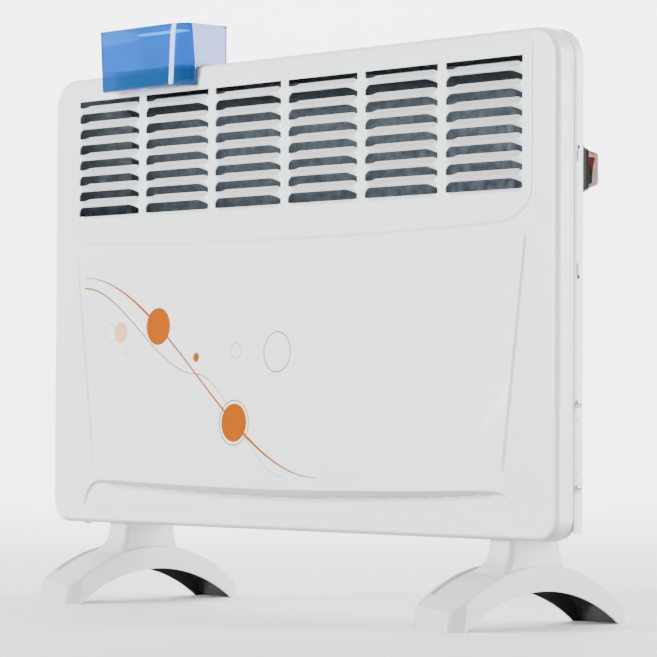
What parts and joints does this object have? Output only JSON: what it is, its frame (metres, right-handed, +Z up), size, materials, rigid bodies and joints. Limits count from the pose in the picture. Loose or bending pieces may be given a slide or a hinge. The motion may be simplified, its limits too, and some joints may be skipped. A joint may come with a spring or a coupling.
{
  "type": "fan convector heater",
  "caption": "Slim electric convector heater: louvred sheet-steel casing on arched plastic feet, with a hidden blower, a splash-proof rocker switch and a lift-off water box.",
  "frame": {"origin": "on the floor, midway between the two feet and midway along their length", "axes": "+X along the casing's width, to the switch's side; +Y from the louvred front to the rear; +Z up"},
  "size_m": [0.6242, 0.19, 0.494],
  "materials": {
    "casing_white": "satin powder coat",
    "foot_plastic": "fine satin moulding",
    "galvanised": "galvanised, dull",
    "element_aluminium": "extruded, matt",
    "element_sheath": "heat-darkened",
    "ceramic_ivory": "glazed",
    "brass": "plain",
    "bright_steel": "zinc plated",
    "black_plastic": "satin",
    "clear_boot": "clear smoky silicone",
    "red_plastic": "gloss",
    "impeller_grey": "dull",
    "motor_steel": "laminated",
    "copper_enamel": "enamelled winding under tape",
    "sintered_bronze": "oiled",
    "wire_brown": "silicone insulation",
    "wire_blue": "silicone insulation",
    "wire_green": "silicone insulation",
    "water_box_blue": "gloss translucent"
  },
  "bodies": {
    "root": {"front_cover": "casing_white", "rear_casing": "casing_white", "base_grille": "casing_white", "heat_baffle": "galvanised", "baffle_standoffs": "bright_steel", "element_fins": "element_aluminium", "element_rod": "element_sheath", "element_insulators": "ceramic_ivory", "element_terminals": "brass", "element_bracket_left": "galvanised", "element_bracket_right": "galvanised", "thermal_cutout": "black_plastic", "thermal_fuse": "ceramic_ivory", "blower_housing": "galvanised", "shaft_bush_left": "sintered_bronze", "shaft_bush_right": "sintered_bronze", "motor_stator": "motor_steel", "motor_coil": "copper_enamel", "motor_bracket": "galvanised", "motor_screws": "bright_steel", "switch_body": "black_plastic", "switch_bezel": "black_plastic", "switch_boot": "clear_boot", "switch_terminals": "brass", "cord_gland": "black_plastic", "gland_nut": "black_plastic", "terminal_block": "ceramic_ivory", "terminal_screws": "brass", "live_wires": "wire_brown", "neutral_wires": "wire_blue", "earth_wire": "wire_green", "earth_screw": "brass", "foot_left": "foot_plastic", "foot_right": "foot_plastic", "foot_screws": "bright_steel", "side_screws": "bright_steel", "rear_screws": "bright_steel", "cover_screws": "bright_steel"},
    "fan": {"impeller": "impeller_grey", "impeller_shaft": "bright_steel", "motor_rotor": "motor_steel"},
    "rocker": {"switch_rocker": "red_plastic"},
    "water_box": {"water_box": "water_box_blue"}
  },
  "joints": [
    {"name": "fan_spin", "type": "hinge", "parent": "root", "child": "fan", "pos_m": [0, -0.006, 0.113], "axis": [1, 0, 0], "continuous": true},
    {"name": "rocker_throw", "type": "hinge", "parent": "root", "child": "rocker", "pos_m": [0.29171, 0.01321, 0.3515], "axis": [0.7071, -0.7071, 0], "range_deg": [0, 14]},
    {"name": "water_box_lift", "type": "slide", "parent": "root", "child": "water_box", "axis": [0, 0, 1], "range_m": [0, 0.08]}
  ]
}
